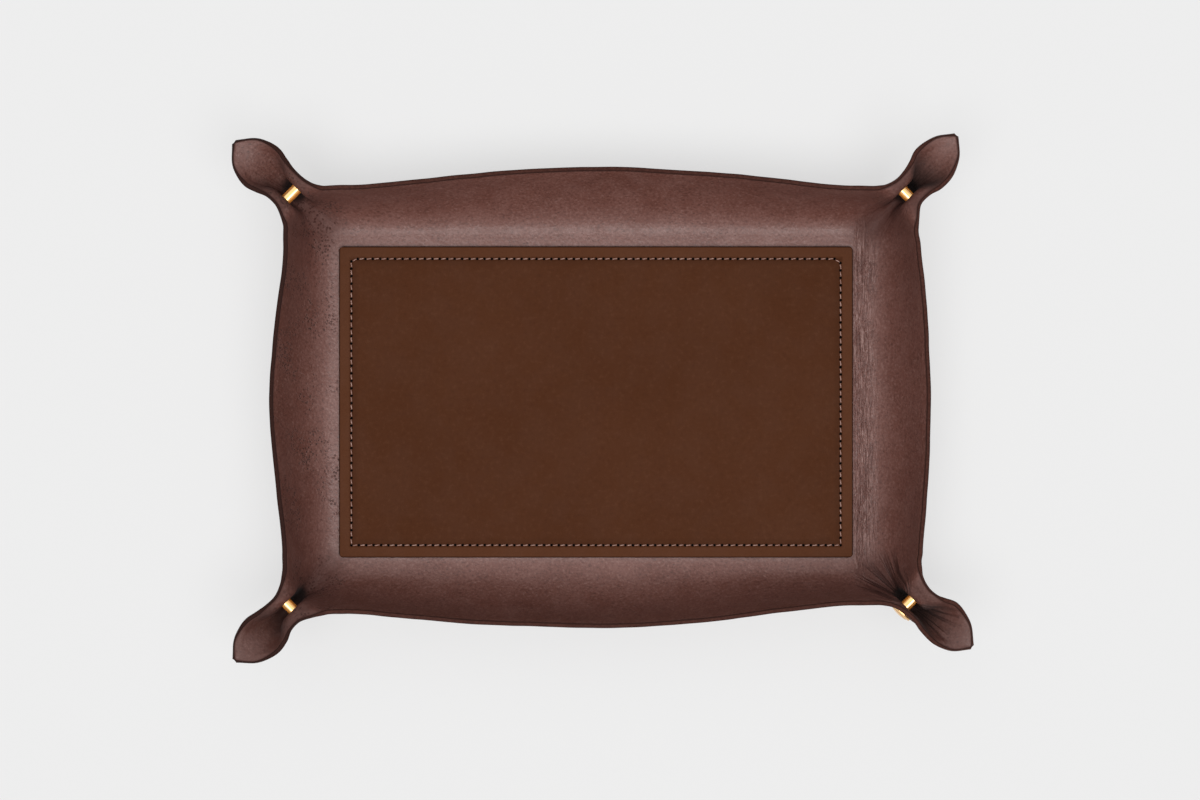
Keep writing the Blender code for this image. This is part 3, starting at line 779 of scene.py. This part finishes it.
class Shader(Nodes):
    """A material with a colour that is tinted step by step."""

    def __init__(self, name):
        self.material = bpy.data.materials.new(name)
        self.material.use_nodes = True
        super().__init__(self.material.node_tree)
        self.place = self.node("TexCoord").outputs["Object"]
        self.x, self.y, self.z = self.parts(self.place)
        self.colour = None

    def scaled(self, stretch):
        return self.node("Mapping", {"Vector": self.place, "Scale": stretch}).outputs[0]

    def noise(self, scale, detail=2.0, rough=0.5, stretch=None, distort=0.0, vector=None):
        where = vector or (self.scaled(stretch) if stretch else self.place)
        inputs = {"Vector": where, "Scale": scale, "Detail": detail, "Roughness": rough,
                  "Distortion": distort}
        return self.node("TexNoise", inputs).outputs["Fac"]

    def cells(self, scale, feature="F1", stretch=None):
        where = self.scaled(stretch) if stretch else self.place
        made = self.node("TexVoronoi", {"Vector": where, "Scale": scale}, feature=feature)
        return made.outputs["Distance"]

    def span(self, value, low, high, to_low=0.0, to_high=1.0):
        """A smooth step between two values, also where low is above high."""
        inputs = {"Value": value, "From Min": low, "From Max": high, "To Min": to_low, "To Max": to_high}
        return self.node("MapRange", inputs, interpolation_type="SMOOTHSTEP").outputs[0]

    def above_zero(self, value):
        return self.span(value, -0.001, 0.001)

    def mix(self, share, a, b):
        made = self.node("Mix", data_type="RGBA")
        for index, value in ((0, share), (6, a), (7, b)):
            self.put(made.inputs[index], (*value, 1.0) if isinstance(value, tuple) else value)
        return made.outputs[2]

    def tint(self, share, colour):
        self.colour = self.mix(share, self.colour, colour)

    def joined(self, x, y, z):
        return self.node("CombineXYZ", {"X": x, "Y": y, "Z": z}).outputs[0]

    def length(self, vector):
        return self.node("VectorMath", {0: vector}, operation="LENGTH").outputs["Value"]

    def wander(self, scale, detail, amount):
        """A noise round zero, to make a border irregular."""
        return self.times(self.minus(self.noise(scale, detail), 0.5), amount)

    def lines(self, value, width):
        """1 on the thin lines where a noise passes its middle value."""
        return self.span(self.size(self.minus(value, 0.5)), 0.0, width, 1.0, 0.0)

    def attribute(self, name):
        return self.node("Attribute", attribute_name=name).outputs["Fac"]

    def relief(self, *layers):
        """The normal after several bumps, each given by its height and distance."""
        normal = {}
        for height, distance in layers:
            made = self.node("Bump", {"Height": height, "Distance": distance, **normal})
            normal = {"Normal": made.outputs[0]}
        return normal["Normal"]

    def finished(self, inputs):
        for name, value in {"Base Color": self.colour, **inputs}.items():
            self.put(self.tree.nodes["Principled BSDF"].inputs[name], value)
        return self.material


def from_post(s, shift=0.0):
    """Way from the nearest post in plan, measured from a point that far behind it: x, y, length."""
    dx = s.minus(s.size(s.x), POST_X)
    dy = s.minus(s.minus(s.size(s.y), POST_Y), s.times(s.maths("SIGN", s.y), shift))
    return dx, dy, s.length(s.joined(dx, dy, 0.0))


def fold_way(s):
    """Way from the nearest post out along its fold, way across the fold, and distance in plan."""
    dx, dy, away = from_post(s)
    return s.plus(dx, dy), s.size(s.minus(dx, dy)), away


def pinch_creases(s):
    """Creases that fan out along the fold from each post, strongest at the front right one."""
    dx, dy, away = from_post(s)
    seed = s.plus(s.times(s.maths("SIGN", s.x), 3.1), s.times(s.maths("SIGN", s.y), 7.7))
    turn_x, turn_y = (s.times(s.over(way, away), 5.5) for way in (dx, dy))
    turn = s.joined(turn_x, turn_y, s.plus(seed, s.times(away, 13.0)))
    fan = s.lines(s.noise(1.0, 2, 0.55, vector=turn), 0.085)
    along_fold = s.span(s.over(s.size(s.minus(dx, dy)), away), 1.15, 0.75)
    reach = s.times(s.span(away, 0.002, 0.005), s.span(away, 0.029, 0.013))
    front_right = s.times(s.above_zero(s.x), s.span(s.y, 0.001, -0.001))
    return s.times(fan, reach, along_fold, s.plus(s.times(front_right, 0.8), 0.2))


def wall_wrinkles(s):
    """Fine long wrinkles at the foot of the right wall: 0.5 is smooth, more is a ridge."""
    ends = s.span(s.size(s.y), 0.097, 0.084)
    where = s.times(s.span(s.x, 0.1255, 0.128), s.span(s.x, 0.142, 0.13), ends)
    wavy = s.noise(1.0, 2.5, 0.75, stretch=(900, 95, 300), distort=1.1)
    patchy = s.span(s.noise(30, 2), 0.3, 0.6, 0.5, 1.0)
    veins = s.lines(s.noise(1.0, 2.0, 0.6, stretch=(620, 62, 240), distort=0.8), 0.035)
    height = s.minus(s.minus(wavy, 0.5), s.times(veins, 0.1))
    return s.plus(s.times(height, where, patchy), 0.5)


def fold_side_shade(s, out, across):
    """The steep sides of the fold between each post and the floor, where shade is painted."""
    width = s.span(out, -0.044, -0.008, 0.022, 0.01)
    inside = s.span(s.over(across, width), 1.0, 0.2)
    return s.times(inside, s.span(out, -0.05, -0.026), s.span(out, 0.004, -0.002))


def hollows(s):
    """The deep leather behind each post, which hardly any light reaches."""
    _, _, away = from_post(s, 0.0024)
    deep = s.span(s.plus(s.z, s.wander(160, 2, 0.004)), 0.0365, 0.0265)
    reach = s.span(s.y, -0.001, 0.001, 0.0074, 0.0084)
    near = s.span(s.minus(reach, away), 0.0, 0.0056)
    return s.span(s.times(near, deep), 0.05, 0.92)


def grain_colour(s, ear):
    """The lively top side: cloudy patches, a fine mottle, pores and dashes. Returns the pores."""
    s.colour = s.mix(
        s.span(s.noise(22, 3, 0.55), 0.3, 0.7), (0.128, 0.048, 0.036), (0.15, 0.06, 0.0465)
    )
    s.tint(s.span(s.noise(85, 4, 0.6, distort=0.4), 0.35, 0.75, 0.0, 0.45), (0.186, 0.088, 0.073))
    mottle = s.noise(700, 3, 0.62)
    s.tint(s.span(mottle, 0.5, 0.32, 0.0, 0.58), (0.072, 0.026, 0.02))
    s.tint(s.span(mottle, 0.52, 0.7, 0.0, 0.5), (0.235, 0.128, 0.11))
    smoother_ears = s.span(ear, 0.0, 0.6, 1.0, 0.25)
    left_wall = s.span(s.x, -0.116, -0.128, 0.22, 1.0)
    patches = s.span(s.noise(60, 3, 0.65), 0.46, 0.6)
    pores = s.times(s.span(s.cells(640), 0.26, 0.4, 1.0, 0.0), patches, smoother_ears, left_wall)
    s.tint(s.times(pores, 0.78), (0.036, 0.013, 0.009))
    dashes = s.span(s.cells(1.0, stretch=(300, 620, 620)), 0.16, 0.3, 1.0, 0.0)
    s.tint(s.times(dashes, s.span(s.noise(34, 3, 0.6), 0.5, 0.64), 0.55), (0.036, 0.014, 0.01))
    return pores


def sheet_leather():
    s = Shader("sheet_leather")
    flesh = s.span(s.attribute("grain_side"), -0.2, -0.9)
    out, across, away = fold_way(s)
    ear = s.span(out, 0.006, 0.02)
    pores, creases, wrinkles = grain_colour(s, ear), pinch_creases(s), wall_wrinkles(s)
    # painted shade in the creases
    s.tint(s.times(creases, 0.88), (0.024, 0.007, 0.005))
    # painted highlight on the wrinkle ridges and painted shade in their troughs
    s.tint(s.span(wrinkles, 0.51, 0.575, 0.0, 0.65), (0.27, 0.16, 0.14))
    s.tint(s.span(wrinkles, 0.49, 0.425, 0.0, 0.46), (0.062, 0.022, 0.017))
    # painted shade: the front wall darker, as it faces away from the front lamps
    front_wall_shade = s.span(s.y, -0.096, -0.112, 0.0, 0.38)
    s.tint(front_wall_shade, (0.05, 0.018, 0.013))

    fold, dark = fold_side_shade(s, out, across), hollows(s)
    right, back = s.above_zero(s.x), s.above_zero(s.y)
    # painted shade on the steep sides of the folds, stronger at the back right
    s.tint(s.times(fold, s.plus(s.times(right, back, 0.28), 0.5)), (0.058, 0.0135, 0.008))
    # painted shade on the walls beside each fold, close to its post
    shoulder_shade = s.times(s.span(away, 0.021, 0.011), s.span(out, -0.012, -0.004),
                       s.span(across, 0.0035, 0.0085))
    s.tint(s.times(shoulder_shade, 0.52), (0.042, 0.0135, 0.0095))
    # painted shade: the ears a little darker
    s.tint(s.times(ear, 0.16), (0.05, 0.018, 0.013))
    # painted shade behind each post on its ear side: full on the right, half at the front left, none at
    # the back left
    behind = s.times(s.larger(right, s.times(s.span(back, 1.0, 0.0), 0.5)),
                     s.span(away, 0.0225, 0.0085), s.span(out, 0.0005, 0.0045),
                     s.span(s.over(across, away), 1.1, 0.55))
    s.tint(s.times(behind, 0.74), (0.012, 0.0035, 0.002))
    s.tint(s.times(dark, 0.92), (0.005, 0.0015, 0.001))

    fibre = s.noise(900, 3, 0.65, stretch=(1, 1, 0.5))
    s.tint(flesh, s.mix(s.span(fibre, 0.3, 0.7), (0.098, 0.045, 0.034), (0.16, 0.082, 0.063)))
    rim = s.plus(s.attribute("rim_mm"), s.wander(300, 2, 0.5))
    # darker towards the rim and on the arrises: partly the burnished edge's colour, partly painted shade
    # on the rounding; the arrises less dark at the left end
    s.tint(s.span(rim, 1.15, 0.55, 0.0, 0.45), (0.07, 0.024, 0.018))
    s.tint(s.span(rim, -0.3, -0.6), (0.06, 0.022, 0.016))
    arris = s.times(s.span(rim, 0.6, 0.2), s.span(rim, -0.6, -0.2))
    s.tint(s.times(arris, s.span(s.x, -0.15, -0.125, 0.35, 0.85)), (0.032, 0.0085, 0.005))

    rough = s.span(s.noise(140, 3), 0.3, 0.7, 0.36, 0.46)
    rougher = ((s.span(rim, 0.8, 0.2), 0.28), (flesh, 0.25), (dark, 0.45), (behind, 0.3),
               (fold, 0.3), (shoulder_shade, 0.28), (pores, 0.25), (ear, 0.08))
    for mask, amount in rougher:
        rough = s.plus(rough, s.times(mask, amount))
    normal = s.relief(
        (s.cells(820, "SMOOTH_F1"), 0.00011), (s.noise(430, 4, 0.62), 0.00022),
        (s.times(pores, -1.0), 0.00014), (s.times(creases, -1.0), 0.00055),
        (wrinkles, 0.0014), (s.times(fibre, flesh), 0.00035),
    )
    return s.finished({"Roughness": rough, "Specular IOR Level": 0.48, "Normal": normal})


def cut_edge():
    """Burnished edge of the sheet: dark arrises, partly edge colour and partly painted shade, a redder
    stripe between them, and painted shade at the left end.
    """
    s = Shader("cut_edge")
    rim = s.plus(s.attribute("rim_mm"), s.wander(260, 3, 0.35))
    streaks = s.noise(700, 3, 0.6)
    s.colour = s.mix(s.span(streaks, 0.3, 0.7), (0.04, 0.0125, 0.0085), (0.066, 0.023, 0.016))
    # dark arrises: partly edge colour, partly painted shade on the rounding
    s.tint(s.span(rim, -0.55, -0.15), (0.022, 0.006, 0.0035))
    # painted shade: the cut edge darker at the left end
    left_end_shade = s.span(s.x, -0.13, -0.145, 0.0, 0.75)
    s.tint(left_end_shade, (0.014, 0.004, 0.0025))
    normal = s.relief((streaks, 0.00012))
    return s.finished({"Roughness": 0.72, "Specular IOR Level": 0.12, "Normal": normal})


def panel_leather():
    """Smooth brown leather, paler past the seam, with painted shade in the stitch holes and just inside
    the seam; the cut edge dark with its burnish and painted shade.
    """
    s = Shader("panel_leather")
    fine = s.noise(420, 4, 0.65)
    s.colour = s.mix(
        s.span(s.noise(16, 3, 0.5), 0.3, 0.7), (0.061, 0.0188, 0.0062), (0.067, 0.0215, 0.0078)
    )
    s.tint(s.span(fine, 0.5, 0.74, 0.0, 0.35), (0.094, 0.036, 0.0165))
    s.tint(s.span(fine, 0.48, 0.28, 0.0, 0.35), (0.046, 0.0135, 0.0045))
    beside, above = (
        s.minus(s.size(s.minus(way, middle)), length / 2 - SEAM_INSET)
        for way, middle, length in zip((s.x, s.y), PANEL_MIDDLE, (PANEL_LENGTH, PANEL_WIDTH))
    )
    past_seam = s.larger(beside, above)
    s.tint(s.span(past_seam, 0.0006, 0.0016, 0.0, 0.55), (0.094, 0.033, 0.0145))
    # painted shade just inside the seam line, fading inward over about four millimetres
    seam_shade = s.times(s.span(past_seam, -0.0042, -0.0008), s.span(past_seam, 0.0006, -0.0002))
    s.tint(s.times(seam_shade, 0.4), (0.04, 0.012, 0.004))
    # painted shade deep in the stitch holes
    hole_shade = s.span(s.z, PANEL_TOP - 0.00034, PANEL_TOP - 0.00052)
    s.tint(s.times(s.span(past_seam, 0.003, 0.002), hole_shade), (0.0025, 0.001, 0.0007))
    # the cut edge dark: partly burnished colour, partly painted shade of the gap at the panel's edge
    edge = s.span(past_seam, SEAM_INSET - 0.00075, SEAM_INSET - 0.0002, 0.0, 0.88)
    s.tint(edge, (0.011, 0.0035, 0.002))
    return s.finished({
        "Roughness": s.span(s.noise(90, 3), 0.3, 0.7, 0.66, 0.78),
        "Specular IOR Level": 0.09,
        "Normal": s.relief((s.cells(900, "SMOOTH_F1"), 0.00006), (s.noise(420, 3, 0.6), 0.00012)),
    })


def waxed_thread():
    """Pale waxed thread, with painted shade where it dives into a hole of the panel."""
    s = Shader("waxed_thread")
    s.colour = s.mix(s.span(s.noise(500, 2), 0.3, 0.7), (0.27, 0.145, 0.115), (0.38, 0.235, 0.195))
    # painted shade on the thread inside the holes
    hole_shade = s.span(s.z, PANEL_TOP - 0.00024, PANEL_TOP - 0.00045)
    upper = s.span(s.z, PANEL_BOTTOM - 0.001, PANEL_BOTTOM - 0.0006)
    s.tint(s.times(hole_shade, upper), (0.004, 0.0015, 0.001))
    return s.finished({"Roughness": 0.55, "Normal": s.relief((s.noise(2600, 2, 0.6), 0.00005))})


def brass():
    """Turned brass: rings on the head, a worn step and edge, and a painted reflection that makes the
    barrel's flanks redder and less metallic.
    """
    s = Shader("brass")
    tarnish = s.span(s.noise(180, 4, 0.6), 0.35, 0.75)
    radius = s.length(s.scaled((1, 1, 0)))
    head = s.mix(tarnish, (0.94, 0.62, 0.31), (0.9, 0.56, 0.25))
    barrel = s.mix(tarnish, (0.95, 0.6, 0.27), (0.89, 0.53, 0.21))
    s.colour = s.mix(s.span(radius, 0.0029, 0.0032), barrel, head)
    rings = s.node("TexNoise", {"W": radius, "Scale": 3800.0, "Detail": 2.0},
                   noise_dimensions="1D").outputs["Fac"]
    s.tint(s.span(rings, 0.45, 0.7, 0.0, 0.3), (0.72, 0.38, 0.12))
    step = s.times(s.span(radius, 0.0044, 0.00475), s.span(radius, 0.00515, 0.0048))
    edge = s.span(radius, 0.0056, 0.0062)
    s.tint(s.larger(s.times(step, 0.75), s.times(edge, 0.35)), (0.5, 0.25, 0.07))
    # painted reflection: where the barrel's surface turns sideways it is redder and less metallic, as if
    # mirroring the leather round it
    up = s.size(s.parts(s.node("NewGeometry").outputs["Normal"])[2])
    flank_reflection = s.times(s.span(up, 0.86, 0.7), s.span(s.size(s.z), 0.005, 0.0042))
    s.tint(flank_reflection, (0.86, 0.33, 0.055))
    drawn = s.noise(1.0, 2, 0.5, stretch=(1500, 1500, 60))
    return s.finished({
        "Metallic": s.span(flank_reflection, 0.0, 1.0, 0.95, 0.3),
        "Roughness": s.span(s.noise(900, 3), 0.3, 0.7, 0.04, 0.08),
        "Normal": s.relief((rings, 0.000006), (drawn, 0.00004)),
    })


def shaded_slot_brass():
    """Brass inside the screw slots, dark with patina and painted shade."""
    s = Shader("shaded_slot_brass")
    s.colour = s.mix(s.span(s.noise(900, 2), 0.3, 0.7), (0.16, 0.075, 0.022), (0.26, 0.13, 0.04))
    return s.finished({"Metallic": 0.6, "Roughness": 0.55})


# Pieces
def on_root(piece, node, material):
    piece.data.materials.clear()
    piece.data.materials.append(material)
    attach(piece, "root")
    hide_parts(node)


def underside_cutter():
    """Round-bottomed groove for the lower thread under the floor."""
    lip, below = 0.0003, -0.003
    flank_reflection = [(GROOVE_HALF_WIDTH + lip, below), (GROOVE_HALF_WIDTH + lip, 0.00001),
             (GROOVE_HALF_WIDTH, lip), (GROOVE_HALF_WIDTH * 0.8, GROOVE_DEPTH * 0.85)]
    section = [(-away, height) for away, height in flank_reflection]
    section += [(0, GROOVE_DEPTH), *flank_reflection[::-1]]
    rings = [(SEAM_INSET + away, 0.0025 - away, height) for away, height in section]
    points = outlines(rings, 6)
    return new_object("groove", mesh_of("groove", points, tube_faces(points, len(rings), endless=True)))


def barrel_cutters():
    radius, half = BARREL_HOLE_RADIUS, BARREL_HOLE_REACH
    parts = []
    for corner in CORNERS:
        axis = np.array(post_axis(corner))
        points, faces = lathe([(0, half), (radius, half), (radius, -half), (0, -half)], 40)
        placed = np.array(points) @ axis[:3, :3].T + axis[:3, 3]
        parts.append((placed.tolist(), faces))
    return joined(parts)


def read(data, name, width=1):
    values = np.empty(len(data) * width, np.float32)
    data.foreach_get(name, values)
    return values


def make_leather(leather, edge):
    """The sheet. Cuts in its underside are flesh side, and only its rim is cut edge."""
    sheet = new_object("leather_sheet", leather_sheet_mesh())
    subtract(sheet, new_object("holes", mesh_of("holes", *barrel_cutters())))
    subtract(sheet, underside_cutter())
    sheet.data.shade_smooth()
    on_root(sheet, "tray_sheet", leather)
    sheet.data.materials.append(edge)
    grain_side, rim_mm = (sheet.data.attributes[name].data for name in ("grain_side", "rim_mm"))
    grain, rim = read(grain_side, "value"), read(rim_mm, "value")
    height = read(sheet.data.vertices, "co", 3)[2::3]
    grooved = (grain == 0) & (rim == 0) & (height < 0.012)
    grain[grooved], rim[grooved] = -1, 20
    grain_side.foreach_set("value", grain)
    rim_mm.foreach_set("value", rim)
    for polygon in sheet.data.polygons:
        corners = list(polygon.vertices)
        polygon.material_index = int(abs(grain[corners].mean()) < 0.8 and rim[corners].mean() < -0.005)


def make_panel(leather):
    panel = new_object("leather_panel", panel_mesh())
    holes = hole_cones(PANEL_TOP + 0.001, PANEL_BOTTOM + 0.0004, HOLE_RADIUS + 0.00006, 0.0005)
    subtract(panel, new_object("awl", mesh_of("awl", *holes)))
    on_root(panel, "centre_panel", leather)
    shade_by_angle(panel, 35)


def make_thread(name, node, material, **shape):
    thread = new_object(name, mesh_of(name, *stitches(**shape)))
    thread.data.shade_smooth()
    on_root(thread, node, material)


leather, warm_leather, thread = sheet_leather(), panel_leather(), waxed_thread()
metal, shaded_slot_metal = brass(), shaded_slot_brass()
make_leather(leather, cut_edge())
make_panel(warm_leather)
make_thread("upper_stitches", "needle_thread", thread,
            surface_height=PANEL_TOP - SEAM_DIP, up=1, dive=-0.00095, rise=0.00021)
make_thread("lower_stitches", "bobbin_thread", thread,
            surface_height=GROOVE_DEPTH, up=-1, dive=-0.00030, rise=0.00052)
for corner in CORNERS:
    make_post(corner, metal)
    make_screw(corner, metal, shaded_slot_metal)


# Stage, light and camera
BACKGROUND = (0.823, 0.823, 0.823, 1.0)
SEEN_SHARE = 0.72
STAGE_HALF, STAGE_DROP = 6.0, 0.0003
HORIZON_LIGHT, CEILING_LIGHT = 0.06, 0.46
CAMERA_PLACE, CAMERA_LENS, CAMERA_SENSOR = (0, -0.0012, 1.2), 72, 36


def seen_directly(nodes):
    """1 where the camera, a mirror reflection or a clear material looks."""
    path = nodes.node("LightPath").outputs
    seen = path["Is Camera Ray"]
    for name in ("Is Glossy Ray", "Is Transmission Ray"):
        seen = nodes.larger(seen, path[name])
    return seen


def show(nodes, output, share, lit, shown):
    """Shows one shader as lit and the other as seen directly."""
    mixed = nodes.node("MixShader", {0: share, 1: lit.outputs[0], 2: shown.outputs[0]})
    nodes.put(nodes.tree.nodes[output].inputs["Surface"], mixed.outputs[0])


def make_floor():
    mesh = bpy.data.meshes.new("floor")
    corners = [(x * STAGE_HALF, y * STAGE_HALF, 0) for x, y in ((-1, -1), (1, -1), (1, 1), (-1, 1))]
    mesh.from_pydata(corners, [], [(0, 1, 2, 3)])
    floor = new_object("floor", mesh)
    floor.location.z = -STAGE_DROP
    s = Shader("floor")
    s.colour = BACKGROUND
    mesh.materials.append(s.finished({"Roughness": 0.9, "Specular IOR Level": 0.0}))
    paper, glow = s.tree.nodes["Principled BSDF"], s.node("Emission", {"Color": BACKGROUND})
    show(s, "Material Output", s.times(seen_directly(s), SEEN_SHARE), paper, glow)


def make_world():
    """A soft ceiling over a darker horizon; the pale background is seen directly."""
    world = bpy.data.worlds.new("studio")
    bpy.context.scene.world = world
    world.use_nodes = True
    nodes = Nodes(world.node_tree)
    up = nodes.parts(nodes.node("TexCoord").outputs["Generated"])["Z"]
    inputs = {"Value": up, "To Min": HORIZON_LIGHT, "To Max": CEILING_LIGHT}
    lit = nodes.tree.nodes["Background"]
    nodes.put(lit.inputs["Color"], (1, 1, 1, 1))
    nodes.put(lit.inputs["Strength"], nodes.node("MapRange", inputs).outputs[0])
    shown = nodes.node("Background", {"Color": BACKGROUND})
    show(nodes, "World Output", seen_directly(nodes), lit, shown)


def make_lights():
    """Wide soft lamps: two in front of the tray and a weaker one behind it."""
    for name, energy, degrees, towards in (
        ("front_right_softbox", 1.18, 38, (0.33, -0.33, 0.885)),
        ("front_left_softbox", 1.15, 36, (-0.30, -0.30, 0.906)),
        ("back_softbox", 0.50, 62, (-0.08, 0.50, 0.862)),
    ):
        sun = bpy.data.lights.new(name, "SUN")
        sun.energy, sun.angle = energy, radians(degrees)
        lamp = new_object(name, sun)
        lamp.rotation_euler = Vector(towards).to_track_quat("Z", "Y").to_euler()


def make_camera():
    """Straight above the tray, as in the photograph."""
    data = bpy.data.cameras.new("camera")
    data.lens, data.sensor_width = CAMERA_LENS, CAMERA_SENSOR
    camera = new_object("camera", data)
    camera.location = CAMERA_PLACE
    bpy.context.scene.camera = camera


make_floor()
make_world()
make_lights()
make_camera()
bpy.context.scene.view_settings.view_transform = "Standard"
